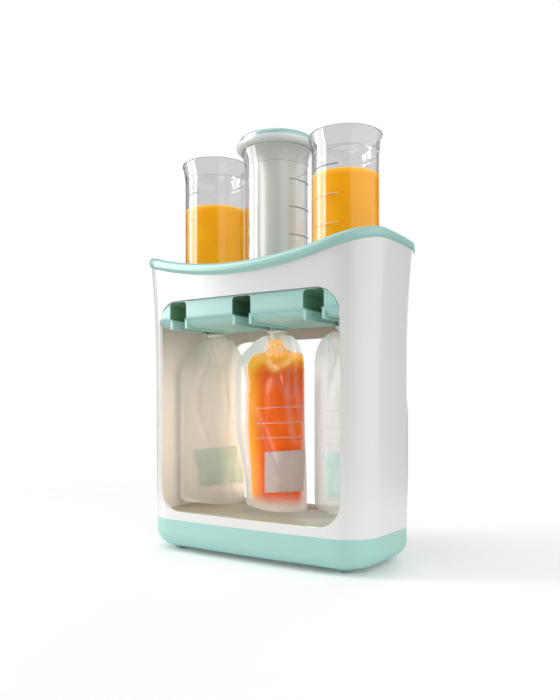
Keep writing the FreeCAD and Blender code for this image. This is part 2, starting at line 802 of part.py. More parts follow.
def make_press():
    edge = "Sizes.press_cap_radius - Sizes.press_cap_edge"
    shoulder = "Sizes.press_cap_bottom + Sizes.press_cap_side"
    cap = [
        ("0", "Sizes.press_cap_bottom"),
        (edge, "Sizes.press_cap_bottom"),
        (edge, shoulder),
        ("0", "Sizes.press_cap_top"),
    ]
    reach = size("press_cap_radius") - size("press_cap_edge")
    rise = size("press_cap_top") - size("press_cap_bottom") - size("press_cap_side")
    dome = (reach ** 2 + rise ** 2) / (2 * rise)
    half = reach / 2
    arcs = {
        1: (size("press_cap_radius"), size("press_cap_bottom") + size("press_cap_side") / 2),
        2: (half, size("press_cap_top") - dome + math.sqrt(dome ** 2 - half ** 2)),
    }
    keep(turned("press_cap", cap, arcs), "press_cap")
    bore = "Sizes.press_shaft_radius - Sizes.press_shaft_wall"
    shaft = [
        (bore, "Sizes.press_shaft_bottom"),
        ("Sizes.press_shaft_radius", "Sizes.press_shaft_bottom"),
        ("Sizes.press_shaft_radius", "Sizes.trumpet_start"),
        ("Sizes.trumpet_radius", "Sizes.press_flange_bottom"),
        ("Sizes.press_flange_radius", "Sizes.press_flange_bottom"),
        (f"{edge} - Sizes.spout_bevel", "Sizes.press_cap_bottom"),
        (bore, "Sizes.press_cap_bottom"),
    ]
    keep(turned("press_shaft", shaft, {2: TRUMPET_BEND, 4: FLANGE_BEND}), "press_shaft")
    wipe = "Sizes.tube_radius - Sizes.tube_wall - Sizes.piston_clearance"
    waist = "Sizes.piston_waist_radius"
    top = "Sizes.press_shaft_bottom"
    plug = f"{bore} - {PLUG_GAP}"
    piston = [
        ("0", "Sizes.piston_tip"),
        ("Sizes.outlet_bore", "Sizes.piston_tip"),
        (wipe, "Sizes.piston_bottom"),
        (wipe, "Sizes.piston_bottom + Sizes.piston_band"),
        (waist, "Sizes.piston_bottom + Sizes.piston_band + 1"),
        (waist, f"{top} - Sizes.piston_band - 1"),
        (wipe, f"{top} - Sizes.piston_band"),
        (wipe, top),
        (plug, top),
        (plug, f"{top} + Sizes.piston_plug"),
        ("0", f"{top} + Sizes.piston_plug"),
    ]
    keep(turned("press_piston", piston), "press_piston")


# Pouches: a film bag hung by the flange of a moulded spout

def make_spout(side):
    neck = "Sizes.spout_neck_radius"
    flange = "Sizes.spout_flange_radius"
    thread = "Sizes.spout_thread_radius"
    collar = "Sizes.pouch_neck_top"
    rest = "Sizes.ledge_top + Sizes.fit_gap"
    bevel = "Sizes.spout_bevel"
    section = [
        ("Sizes.spout_bore", "Sizes.pouch_neck_bottom"),
        (f"{neck} - {bevel}", "Sizes.pouch_neck_bottom"),
        (neck, f"{collar} - Sizes.spout_flange"),
        (neck, collar),
        (flange, f"{collar} + {bevel}"),
        (flange, f"{collar} + Sizes.spout_flange"),
        (neck, f"{collar} + Sizes.spout_flange + {bevel}"),
        (neck, rest),
        (flange, rest),
        (flange, f"{rest} + Sizes.spout_flange"),
        (thread, f"{rest} + Sizes.spout_flange + {bevel}"),
        (thread, "Sizes.spout_top"),
        ("Sizes.spout_bore", "Sizes.spout_top"),
    ]
    name = f"pouch_spout_{side}"
    return keep(turned(name, section, (), SIDES[side]), name)


def bag(label, levels, x):
    """Loft through upright stacked ellipses: half width, half thickness, height."""
    rings = []
    for number, (wide, thick, height) in enumerate(levels):
        ring = doc.addObject("Part::Ellipse", f"{label}_ring_{number}")
        ring.setExpression("MajorRadius", wide)
        ring.setExpression("MinorRadius", thick)
        ring.setExpression("Placement.Base.z", height)
        ring.setExpression("Placement.Base.x", x)
        rings.append(ring)
    solid = doc.addObject("Part::Loft", label)
    solid.Sections = rings
    solid.Solid = True
    return solid


BAG_FORM = [
    # Share of the half width, share of the swell, share of the spout's boat
    (0.87, 0.66, 0.0),
    (0.99, 0.99, 0.0),
    (0.99, 0.97, 0.0),
    (0.95, 0.84, 0.04),
    (0.87, 0.48, 0.39),
    (0.58, 0.0, 1.0),
]


BOAT_MARGIN = 1.6
SEAT_GAP = 0.5


def bag_levels(swell, shrink):
    """Even levels of a bag whose half thickness is swell, drawn in by shrink."""
    rise = "(Sizes.pouch_neck_top - Sizes.pouch_bottom)"
    boat = f"(Sizes.spout_neck_radius + {BOAT_MARGIN})"
    last = len(BAG_FORM) - 1
    levels = []
    for number, (width, bulge, neck) in enumerate(BAG_FORM):
        levels.append((
            f"Sizes.pouch_half_width * {width} - {shrink}",
            f"{swell} * {bulge} + {boat} * {neck} - {shrink}",
            f"Sizes.pouch_bottom + {rise} * {number} / {last}",
        ))
    return levels


def make_pouches():
    for side, x in SIDES.items():
        make_spout(side)
        swell = "Sizes.pouch_half_fill" if side == "middle" else "Sizes.pouch_half_empty"
        skin = bag(f"bag_{side}", bag_levels(swell, "0"), x)
        seat = cylinder(
            f"spout_seat_{side}", "Sizes.spout_neck_radius + Sizes.fit_gap",
            f"Sizes.pouch_neck_bottom - {SEAT_GAP}", "Sizes.pouch_neck_top + Sizes.tool_overrun", x,
        )
        film = cut(f"seated_film_{side}", skin, seat)
        if side == "middle":
            inner = bag("puree_bag", bag_levels(swell, "Sizes.film"), x)
            slab = box(
                "puree_slab",
                ("-Sizes.tool_reach", "-Sizes.tool_reach", "Sizes.pouch_bottom + Sizes.film"),
                ("Sizes.tool_reach", "Sizes.tool_reach", "Sizes.pouch_fill_top"),
            )
            puree = doc.addObject("Part::Common", "pouch_puree_middle")
            puree.Base = inner
            puree.Tool = slab
            keep(puree, "pouch_puree_middle")
            film = cut("hollow_film_middle", film, puree)
        keep(film, f"pouch_film_{side}")


make_base()
make_feet()
make_shell()
make_top_tray()
make_rail()
make_tubes()
make_press()
make_pouches()
doc.recompute()

for item in doc.Objects:
    if {"Invalid", "Error"} & set(item.State):
        raise RuntimeError(f"{item.Label} did not build: {item.State}")

os.makedirs("parts", exist_ok=True)
MESH_STEP = 0.4
MESH_TURN = 0.4
facets = 0
for node in nodes:
    shape = node.Shape
    if shape.isNull() or not shape.isValid():
        raise RuntimeError(f"{node.Label} has no valid shape")
    shape.exportStep(f"parts/{node.Label}.step")
    mesh = MeshPart.meshFromShape(
        Shape=shape, LinearDeflection=MESH_STEP, AngularDeflection=MESH_TURN, Relative=False
    )
    triangles = mesh.CountFacets
    facets += triangles
    spread = shape.BoundBox
    print(
        f"{node.Label:22s} solids {len(shape.Solids)} volume {shape.Volume / 1000:8.2f} cm3 "
        f"facets {triangles:5d} x {spread.XMin:7.1f} {spread.XMax:7.1f} "
        f"y {spread.YMin:6.1f} {spread.YMax:6.1f} z {spread.ZMin:6.1f} {spread.ZMax:6.1f}"
    )
print(f"{len(nodes)} nodes, {facets} facets")
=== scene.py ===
import math

import bpy
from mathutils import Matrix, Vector, noise


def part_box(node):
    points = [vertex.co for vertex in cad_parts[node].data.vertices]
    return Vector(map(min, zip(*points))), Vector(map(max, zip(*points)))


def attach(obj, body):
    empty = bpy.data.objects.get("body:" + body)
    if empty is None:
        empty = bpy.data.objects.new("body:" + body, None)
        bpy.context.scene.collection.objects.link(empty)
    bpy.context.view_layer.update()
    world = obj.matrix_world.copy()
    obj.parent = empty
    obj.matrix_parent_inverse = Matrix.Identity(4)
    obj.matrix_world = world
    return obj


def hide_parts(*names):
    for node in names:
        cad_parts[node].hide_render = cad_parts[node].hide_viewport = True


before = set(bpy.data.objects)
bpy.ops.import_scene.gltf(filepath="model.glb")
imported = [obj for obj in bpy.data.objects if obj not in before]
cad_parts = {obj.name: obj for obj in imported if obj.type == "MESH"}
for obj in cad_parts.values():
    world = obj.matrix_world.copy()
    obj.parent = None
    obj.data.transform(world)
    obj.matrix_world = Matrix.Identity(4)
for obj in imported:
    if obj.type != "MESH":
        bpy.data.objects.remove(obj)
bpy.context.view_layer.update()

MM = 0.001
TINY = 1e-6

scene = bpy.context.scene

# Camera: level, to the right of the front, with the horizon below the middle

CAMERA_PLACE = (0.30772, -0.46639, 0.1215)
CAMERA_TURN = 0.579
FOCAL_PIXELS = 693.7
FRAME_HEIGHT = 700
HORIZON_PIXEL = 400.7
SENSOR = 36.0
NEAREST = 0.01


def add_camera():
    data = bpy.data.cameras.new("camera")
    data.sensor_width = SENSOR
    data.lens = FOCAL_PIXELS / FRAME_HEIGHT * SENSOR
    data.shift_y = (HORIZON_PIXEL - FRAME_HEIGHT / 2) / FRAME_HEIGHT
    data.clip_start = NEAREST
    camera = bpy.data.objects.new("camera", data)
    camera.location = CAMERA_PLACE
    camera.rotation_euler = (math.pi / 2, 0, CAMERA_TURN)
    scene.collection.objects.link(camera)
    bpy.context.scene.camera = camera


# Light: white surround, a tall strip on the left and a wide dim panel on the right

SKY = (1.0, 1.0, 0.995, 1)
AMBIENT = 0.31
AMBIENT_GLOSS = 0.08
SEEN_THROUGH = 0.66
BACKDROP = 1.0
STRIP_POWER = 9.6
PANEL_POWER = 9.6
TOP_POWER = 4.8
REAR_POWER = 6.5
BOUNCE_POWER = 0.026
HIGHLIGHT_POWER = 34.0
SHEEN_POWER = 12.0
WHITE = (1, 1, 1)
WARM = (1.0, 0.66, 0.38)
STRIP_PLACE = (-1.0, -0.60, 0.62)
PART_MIDDLE = (0, 0, 0.2)
INNER_WALL = (-0.098, 0, 0.10)


def add_area(name, place, width, height, power, target=PART_MIDDLE, colour=WHITE):
    """Rectangular lamp that faces its target and isn't seen itself."""
    data = bpy.data.lights.new(name, "AREA")
    data.shape = "RECTANGLE"
    data.size = width
    data.size_y = height
    data.energy = power
    data.color = colour
    light = bpy.data.objects.new(name, data)
    light.location = place
    aim = Vector(target) - Vector(place)
    light.rotation_euler = aim.to_track_quat("-Z", "Y").to_euler()
    light.visible_camera = False
    light.visible_transmission = False
    scene.collection.objects.link(light)
    return light


def add_surround():
    """White surround whose strength depends on the kind of ray."""
    world = bpy.data.worlds.new("studio")
    world.use_nodes = True
    nodes = world.node_tree.nodes
    links = world.node_tree.links
    nodes.clear()
    out = nodes.new("ShaderNodeOutputWorld")
    path = nodes.new("ShaderNodeLightPath")

    def surround(strength):
        sky = nodes.new("ShaderNodeBackground")
        sky.inputs["Color"].default_value = SKY
        sky.inputs["Strength"].default_value = strength
        return sky.outputs[0]

    def choose(ray, otherwise, strength):
        mix = nodes.new("ShaderNodeMixShader")
        links.new(path.outputs[ray], mix.inputs["Fac"])
        links.new(otherwise, mix.inputs[1])
        links.new(surround(strength), mix.inputs[2])
        return mix.outputs[0]

    light = surround(AMBIENT)
    light = choose("Is Glossy Ray", light, AMBIENT_GLOSS)
    light = choose("Is Transmission Ray", light, SEEN_THROUGH)
    light = choose("Is Camera Ray", light, BACKDROP)
    links.new(light, out.inputs["Surface"])
    scene.world = world
    scene.view_settings.view_transform = "Standard"


def add_lamps():
    add_area("strip_left", STRIP_PLACE, 0.42, 1.25, STRIP_POWER)
    panel = add_area("panel_right", (1.25, -0.28, 0.78), 1.5, 1.3, PANEL_POWER)
    panel.visible_glossy = False
    add_area("top_box", (-0.15, -0.25, 1.5), 0.9, 0.7, TOP_POWER)
    add_area("rear_box", (-0.25, 1.3, 0.55), 1.2, 0.9, REAR_POWER)
    highlight = add_area("highlight_left", STRIP_PLACE, 0.86, 1.25, HIGHLIGHT_POWER)
    highlight.visible_diffuse = False
    sheen = add_area("sheen_right", (1.2, 0.04, 0.60), 2.6, 1.3, SHEEN_POWER)
    sheen.visible_diffuse = False
    bounce = add_area("warm_bounce", (-0.034, -0.004, 0.10), 0.05, 0.11, BOUNCE_POWER,
                      INNER_WALL, WARM)
    bounce.visible_glossy = False


# Helpers of the materials

PLASTIC_IOR = 1.5
CLEAR_IOR = 1.49
# Sockets of a colour mix: share, first colour, second colour, and the result
MIX_SHARE, MIX_FIRST, MIX_SECOND, MIX_RESULT = 0, 6, 7, 2


def shader(name):
    material = bpy.data.materials.new(name)
    material.use_nodes = True
    tree = material.node_tree
    return material, tree, tree.nodes["Principled BSDF"]


def own_place(tree):
    """Place in the object's own metres."""
    return tree.nodes.new("ShaderNodeTexCoord").outputs["Object"]


def own_axes(tree):
    """The object's own X, Y and Z, each as a value."""
    split = tree.nodes.new("ShaderNodeSeparateXYZ")
    tree.links.new(own_place(tree), split.inputs[0])
    return split.outputs


def point_share(tree, name):
    """A share from 0 to 1 that the mesh stores at its points."""
    layer = tree.nodes.new("ShaderNodeAttribute")
    layer.attribute_name = name
    return layer.outputs["Fac"]


def grain(tree, scale, detail, stretch=(1, 1, 1)):
    """Noise in the object's own metres, stretched along an axis if asked."""
    spread = tree.nodes.new("ShaderNodeMapping")
    spread.inputs["Scale"].default_value = stretch
    field = tree.nodes.new("ShaderNodeTexNoise")
    field.inputs["Scale"].default_value = scale
    field.inputs["Detail"].default_value = detail
    tree.links.new(own_place(tree), spread.inputs["Vector"])
    tree.links.new(spread.outputs["Vector"], field.inputs["Vector"])
    return field.outputs["Fac"]


def add_bump(tree, bsdf, source, strength, distance):
    bump = tree.nodes.new("ShaderNodeBump")
    bump.inputs["Strength"].default_value = strength
    bump.inputs["Distance"].default_value = distance
    tree.links.new(source, bump.inputs["Height"])
    tree.links.new(bump.outputs["Normal"], bsdf.inputs["Normal"])


def two_tone(tree, source, low, high):
    """Colour between two stops, each a place of the source and the colour there."""
    ramp = tree.nodes.new("ShaderNodeValToRGB")
    for element, (place, colour) in zip(ramp.color_ramp.elements, (low, high)):
        element.position = place
        element.color = (*colour, 1)
    tree.links.new(source, ramp.inputs["Fac"])
    return ramp.outputs["Color"]


def value_range(tree, source, low, high, start=0.0, end=1.0):
    """The source from start to end as a value from low to high."""
    span = tree.nodes.new("ShaderNodeMapRange")
    span.inputs["From Min"].default_value = start
    span.inputs["From Max"].default_value = end
    span.inputs["To Min"].default_value = low
    span.inputs["To Max"].default_value = high
    tree.links.new(source, span.inputs["Value"])
    return span.outputs["Result"]


def reckon(tree, operation, *sources):
    step = tree.nodes.new("ShaderNodeMath")
    step.operation = operation
    for socket, source in zip(step.inputs, sources):
        tree.links.new(source, socket)
    return step.outputs[0]


def colour_mix(tree, share, first):
    """Mix that leaves the first colour by a share; its second colour is still to be set."""
    mix = tree.nodes.new("ShaderNodeMix")
    mix.data_type = "RGBA"
    tree.links.new(share, mix.inputs[MIX_SHARE])
    tree.links.new(first, mix.inputs[MIX_FIRST])
    return mix


def overlay(material, share):
    """Lays a colour over the base colour by a share; returns the socket of that colour."""
    tree = material.node_tree
    base = tree.nodes["Principled BSDF"].inputs["Base Color"]
    mix = colour_mix(tree, share, base.links[0].from_socket)
    tree.links.new(mix.outputs[MIX_RESULT], base)
    return mix.inputs[MIX_SECOND]


# Materials

# Grain of moulded plastic: mottle, flow marks and skin
MOTTLE, FLOW, SKIN = 14, 9, 900
# Clear wall: how far round it darkens, from the colour face on to the colour edge on; the dark
# edge is painted shade
CLEAR_FACE = (0.55, (0.965, 0.965, 0.96))
CLEAR_EDGE = (0.93, (0.20, 0.20, 0.20))
CLEAR_ROUGH = (0.02, 0.05)
# Painted shade inside the rail's channels: start and end of its depth, lower and upper edge
CHANNEL_DEPTH = (0.3 * MM, 0.9 * MM)
CHANNEL_LOW = (0.1850, 0.1866)
CHANNEL_HIGH = (0.2004, 0.1999)
CHANNEL_BAND = (0.190, 0.199)
# Distance from the middle where the painted shade turns from the middle channel's dark mint to
# the side channels'
MIDDLE_CHANNEL, SIDE_CHANNEL = 0.030, 0.035
FLANGE_BLUR = 0.4
# Painted glow: extra emission of the food where its layer gets thinner, and the colour of the
# films' painted glow
THIN_PAINTED_GLOW = 0.22
FILM_LIGHT = (1.0, 0.99, 0.93, 1)


def moulded(name, low, high, rough=(0.26, 0.31), coat=0.0):
    """Glossy moulded plastic with a faint mottle, flow marks and a fine skin."""
    material, tree, bsdf = shader(name)
    mottle = grain(tree, MOTTLE, 2)
    tree.links.new(two_tone(tree, mottle, (0.25, low), (0.75, high)), bsdf.inputs["Base Color"])
    flow = grain(tree, FLOW, 2)
    tree.links.new(value_range(tree, flow, *rough), bsdf.inputs["Roughness"])
    skin = grain(tree, SKIN, 2)
    add_bump(tree, bsdf, skin, 0.04, 0.0002)
    bsdf.inputs["IOR"].default_value = PLASTIC_IOR
    bsdf.inputs["Coat Weight"].default_value = coat
    bsdf.inputs["Coat Roughness"].default_value = 0.08
    return material


def clear_wall(name):
    """Clear moulded wall with painted shade, darker where it is seen edge on."""
    material, tree, bsdf = shader(name)
    weight = tree.nodes.new("ShaderNodeLayerWeight")
    weight.inputs["Blend"].default_value = 0.5
    colour = two_tone(tree, weight.outputs["Facing"], CLEAR_FACE, CLEAR_EDGE)
    tree.links.new(colour, bsdf.inputs["Base Color"])
    ripple = grain(tree, 40, 2, (1, 1, 0.2))
    add_bump(tree, bsdf, ripple, 0.02, 0.001)
    tree.links.new(value_range(tree, ripple, *CLEAR_ROUGH), bsdf.inputs["Roughness"])
    bsdf.inputs["IOR"].default_value = CLEAR_IOR
    bsdf.inputs["Specular IOR Level"].default_value = 0.32
    bsdf.inputs["Transmission Weight"].default_value = 1.0
    return material


def rail_front():
    """How far forward the rail stands at the height of its channels."""
    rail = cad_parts["pouch_rail"]
    low, high = CHANNEL_BAND
    places = [rail.matrix_world @ vertex.co for vertex in rail.data.vertices]
    return min(place.y for place in places if low < place.z < high)


def rail_plastic_painted_shade(name, low, high, rough, painted_shade_middle, painted_shade_side):
    """Moulded plastic of the rail, with painted shade laid over its colour inside its channels.
    """
    material = moulded(name, low, high, rough)
    tree = material.node_tree
    axes = own_axes(tree)
    front = rail_front()
    start, end = CHANNEL_DEPTH
    # Mask of the painted shade: inside the channels, behind the rail's front, between their
    # lower and upper edges
    inside = value_range(tree, axes["Y"], 0.0, 1.0, front + start, front + end)
    for edge in (CHANNEL_LOW, CHANNEL_HIGH):
        share = value_range(tree, axes["Z"], 0.0, 1.0, *edge)
        inside = reckon(tree, "MULTIPLY", inside, share)
    # Painted shade: darker mint in the middle channel than in the side channels, laid over the
    # colour
    away = reckon(tree, "ABSOLUTE", axes["X"])
    deep = two_tone(tree, away, (MIDDLE_CHANNEL, painted_shade_middle), (SIDE_CHANNEL, painted_shade_side))
    tree.links.new(deep, overlay(material, inside))
    return material


def press_plastic(name, low, high, flange, height):
    """Moulded cream plastic, whiter from the flange up."""
    material = moulded(name, low, high)
    tree = material.node_tree
    above = value_range(tree, own_axes(tree)["Z"], 0.0, 1.0,
                        (height - FLANGE_BLUR) * MM, (height + FLANGE_BLUR) * MM)
    overlay(material, above).default_value = (*flange, 1)
    return material


def puree(name, dark, light, thin_painted_glow, painted_glow, coat, lump):
    """Thick strained fruit: soft mottle, wet gloss and a painted glow of emission, paler and
    glowing more where its layer gets thinner.
    """
    material, tree, bsdf = shader(name)
    cloud = grain(tree, 55, 6)
    layer = point_share(tree, "thin_painted_glow")
    mix = colour_mix(tree, layer, two_tone(tree, cloud, (0.3, dark), (0.7, light)))
    mix.inputs[MIX_SECOND].default_value = (*thin_painted_glow, 1)
    tree.links.new(mix.outputs[MIX_RESULT], bsdf.inputs["Base Color"])
    tree.links.new(mix.outputs[MIX_RESULT], bsdf.inputs["Emission Color"])
    tree.links.new(value_range(tree, layer, painted_glow, painted_glow + THIN_PAINTED_GLOW),
                   bsdf.inputs["Emission Strength"])
    pulp = grain(tree, 420, 5)
    add_bump(tree, bsdf, pulp, 0.35, lump)
    bsdf.inputs["Roughness"].default_value = 0.34
    bsdf.inputs["Subsurface Weight"].default_value = 0.25
    bsdf.inputs["Subsurface Radius"].default_value = (1.0, 0.35, 0.08)
    bsdf.inputs["Subsurface Scale"].default_value = 0.004
    bsdf.inputs["Coat Weight"].default_value = coat
    bsdf.inputs["Coat Roughness"].default_value = 0.12
    bsdf.inputs["Specular IOR Level"].default_value = 0.2
    return material


def film(name, low, high, dry, wet, rough, crinkle, coat, painted_glow):
    """Frosted film: milky where it hangs free, clear where food wets it from behind, with a
    painted glow of emission.
    """
    material, tree, bsdf = shader(name)
    haze = grain(tree, 30, 4, (1, 1, 0.4))
    tree.links.new(two_tone(tree, haze, (0.35, low), (0.65, high)), bsdf.inputs["Base Color"])
    tree.links.new(value_range(tree, point_share(tree, "touch"), dry, wet), bsdf.inputs["Alpha"])
    crease = grain(tree, 42, 3, (1.6, 1, 0.35))
    add_bump(tree, bsdf, crease, crinkle, 0.0012)
    tree.links.new(value_range(tree, haze, rough - 0.05, rough + 0.05), bsdf.inputs["Roughness"])
    bsdf.inputs["IOR"].default_value = PLASTIC_IOR
    bsdf.inputs["Coat Weight"].default_value = coat
    bsdf.inputs["Coat Roughness"].default_value = 0.18
    bsdf.inputs["Emission Color"].default_value = FILM_LIGHT
    bsdf.inputs["Emission Strength"].default_value = painted_glow
    return material


def print_ink(name, low, high, alpha):
    """Thin printed ink, a little uneven."""
    material, tree, bsdf = shader(name)
    cloud = grain(tree, 90, 4)
    tree.links.new(two_tone(tree, cloud, (0.3, low), (0.7, high)), bsdf.inputs["Base Color"])
    tree.links.new(value_range(tree, cloud, alpha - 0.05, alpha + 0.05), bsdf.inputs["Alpha"])
    bsdf.inputs["Roughness"].default_value = 0.35
    return material


# Each material: how it is made, and its values
RECIPES = {
    "mint_plastic": (moulded, {"low": (0.41, 0.715, 0.66), "high": (0.43, 0.735, 0.68)}),
    "cap_plastic": (moulded, {
        "low": (0.41, 0.715, 0.66), "high": (0.43, 0.735, 0.68), "coat": 1.0,
    }),
    # The rail's two dark colours are painted shade inside its channels
    "rail_plastic_painted_shade": (rail_plastic_painted_shade, {
        "low": (0.41, 0.725, 0.67), "high": (0.43, 0.745, 0.69), "rough": (0.26, 0.32),
        "painted_shade_middle": (0.08, 0.19, 0.115), "painted_shade_side": (0.16, 0.36, 0.23),
    }),
    "shell_plastic": (moulded, {
        "low": (0.90, 0.895, 0.88), "high": (0.92, 0.915, 0.90), "rough": (0.2, 0.25),
    }),
    "cream_plastic": (press_plastic, {
        "low": (0.74, 0.73, 0.665), "high": (0.78, 0.77, 0.705),
        "flange": (0.93, 0.93, 0.91), "height": 320.5,
    }),
    "soft_seal": (moulded, {
        "low": (0.62, 0.62, 0.56), "high": (0.68, 0.68, 0.62), "rough": (0.4, 0.5),
    }),
    "foot_rubber": (moulded, {
        "low": (0.33, 0.58, 0.52), "high": (0.37, 0.62, 0.56), "rough": (0.5, 0.6),
    }),
    "clear_plastic": (clear_wall, {}),
    # Clear marks in two painted copies: dark as painted shade, pale yellow as painted light from
    # the food behind
    "mark_painted_shade": (moulded, {"low": (0.27, 0.27, 0.26), "high": (0.38, 0.38, 0.36)}),
    "mark_painted_light": (moulded, {"low": (0.93, 0.62, 0.26), "high": (0.97, 0.70, 0.36)}),
    # The food's emission, and its paler colour where the layer gets thinner, are painted glow
    "tube_puree": (puree, {
        "dark": (0.93, 0.37, 0.0), "light": (0.99, 0.43, 0.0), "thin_painted_glow": (1.0, 0.5, 0.05),
        "painted_glow": 0.22, "coat": 0.0, "lump": 0.0006,
    }),
    "pouch_puree": (puree, {
        "dark": (0.86, 0.105, 0.0), "light": (1.0, 0.16, 0.0), "thin_painted_glow": (1.0, 0.50, 0.03),
        "painted_glow": 0.13, "coat": 0.12, "lump": 0.001,
    }),
    "spout_plastic": (moulded, {"low": (0.86, 0.82, 0.76), "high": (0.92, 0.88, 0.82)}),
    # Each film's emission is a painted glow
    "film_full": (film, {
        "low": (0.91, 0.92, 0.89), "high": (0.95, 0.96, 0.93), "dry": 0.72, "wet": 0.01,
        "rough": 0.34, "crinkle": 0.2, "coat": 0.3, "painted_glow": 0.14,
    }),
    "film_empty": (film, {
        "low": (0.84, 0.83, 0.79), "high": (0.88, 0.87, 0.83), "dry": 0.60, "wet": 0.3,
        "rough": 0.45, "crinkle": 0.12, "coat": 0.05, "painted_glow": 0.02,
    }),
    "print_white": (print_ink, {
        "low": (0.85, 0.85, 0.83), "high": (0.95, 0.95, 0.93), "alpha": 0.42,
    }),
    # Floor plate: white plastic with painted shade, the olive grey that it takes inside the body
    "floor_plate": (moulded, {
        "low": (0.47, 0.46, 0.34), "high": (0.53, 0.52, 0.39), "rough": (0.45, 0.55),
    }),
    "label_grey": (print_ink, {
        "low": (0.56, 0.68, 0.62), "high": (0.62, 0.74, 0.68), "alpha": 0.85,
    }),
    "label_pink": (print_ink, {
        "low": (0.80, 0.64, 0.60), "high": (0.88, 0.71, 0.66), "alpha": 0.8,
    }),
    "label_mint": (print_ink, {
        "low": (0.72, 0.93, 0.88), "high": (0.78, 0.97, 0.93), "alpha": 0.8,
    }),
}
MATERIALS = {name: make(name, **values) for name, (make, values) in RECIPES.items()}


# Helpers of the shapes

SOFT_STEPS = 5
SOFT_LIMIT = 0.45


def make_mesh(name, points, faces, material, sharp=40):
    mesh = bpy.data.meshes.new(name)
    mesh.from_pydata(points, [], faces)
    mesh.validate()
    mesh.update()
    mesh.shade_smooth()
    mesh.set_sharp_from_angle(angle=math.radians(sharp))
    mesh.materials.append(MATERIALS[material])
    piece = bpy.data.objects.new(name, mesh)
    scene.collection.objects.link(piece)
    return piece


def soften(section):
    """Rounds each corner of a closed section of (radius, height, softness)."""
    result = []
    count = len(section)
    for index, (radius, height, softness) in enumerate(section):
        here = Vector((radius, height))
        before = Vector(section[index - 1][:2]) - here
        after = Vector(section[(index + 1) % count][:2]) - here
        reach = min(softness, before.length * SOFT_LIMIT, after.length * SOFT_LIMIT)
        if reach < TINY:
            result.append(tuple(here))
            continue
        first = here + before.normalized() * reach
        last = here + after.normalized() * reach
        for step in range(SOFT_STEPS + 1):
            t = step / SOFT_STEPS
            result.append(tuple((1 - t) ** 2 * first + 2 * t * (1 - t) * here + t * t * last))
    return result


def trumpet(radius, spread, start, end, bend, steps):
    """Curve between two heights that opens outward from a radius by a spread."""
    curve = []
    for step in range(steps + 1):
        t = step / steps
        curve.append((radius + spread * t ** bend, start + (end - start) * t))
    return curve


def lathe(name, section, centre, material, segments=128):
    """Solid turned about an upright axis through centre from a closed section in mm."""
    points = []
    faces = []
    rings = []
    for radius, height in section:
        if radius < TINY:
            rings.append([len(points)])
            points.append((centre[0] * MM, centre[1] * MM, height * MM))
            continue
        ring = []
        for step in range(segments):
            angle = 2 * math.pi * step / segments
            ring.append(len(points))
            points.append((
                (centre[0] + radius * math.cos(angle)) * MM,
                (centre[1] + radius * math.sin(angle)) * MM,
                height * MM,
            ))
        rings.append(ring)
    pairs = list(zip(rings, rings[1:]))
    if section[0][0] > TINY or section[-1][0] > TINY:
        pairs.append((rings[-1], rings[0]))
    for low, high in pairs:
        for step in range(segments):
            follow = (step + 1) % segments
            if len(low) == 1 and len(high) == 1:
                break
            if len(low) == 1:
                faces.append((low[0], high[follow], high[step]))
            elif len(high) == 1:
                faces.append((low[step], low[follow], high[0]))
            else:
                faces.append((low[step], low[follow], high[follow], high[step]))
    return make_mesh(name, points, faces, material)


def smooth(t):
    t = max(0.0, min(1.0, t))
    return t * t * (3 - 2 * t)


def add_layer(thing, name, values):
    layer = thing.data.attributes.new(name, "FLOAT", "POINT")
    layer.data.foreach_set("value", values)


# Sizes that the pieces share, in mm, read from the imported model

def node_box(node):
    low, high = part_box(node)
    return [v / MM for v in low], [v / MM for v in high]


def node_middle(node):
    low, high = node_box(node)
    return ((low[0] + high[0]) / 2, (low[1] + high[1]) / 2)


SIDES = ("left", "middle", "right")
CENTRES = {side: node_middle(f"tube_{side}") for side in SIDES}
TUBE_LOW, TUBE_HIGH = node_box("tube_left")
TUBE_TOP = TUBE_HIGH[2]
TUBE_TIP = TUBE_LOW[2]
TUBE_RIM = (TUBE_HIGH[0] - TUBE_LOW[0]) / 2
TUBE_RADIUS = 25.9
TUBE_BORE = 24.4


# Tubes with graduation marks, and the food in them

TUBE_SHOULDER = 203.0
TUBE_FLOOR = 209.5
FUNNEL_DEPTH = 3.5
OUTLET_RADIUS, OUTLET_BORE = 5.6, 3.4
FLARE_START = 305.0
FLARE_BEND = 2.2
FLARE_STEPS = 14
RIM_WALL = 1.4
TUBE_SEGMENTS = 160
# Marks: their heights, and their ends in degrees from the side that faces the camera
MARK_HEIGHTS = (293.0, 271.6, 250.2, 228.8)
MARK_ARCS = {"left": (-66, -34), "middle": (22, 74), "right": (-68, -12)}
MARK_THICK, MARK_TALL = 0.4, 0.9
MARK_SINK = 0.05
MARK_STEPS = 24
# The food reaches this far into the wall, which leaves no rim of air
FOOD_SINK = 0.25
FOOD_EDGE = 4.0


def facing_angle(side):
    """Angle round a tube of the side that faces the camera."""
    x, y = CENTRES[side]
    return math.atan2(CAMERA_PLACE[1] / MM - y, CAMERA_PLACE[0] / MM - x)


def food_level(side):
    """Top of the food in a tube, 0 in the tube that holds the press."""
    return 0.0 if side == "middle" else node_box(f"tube_puree_{side}")[1][2]


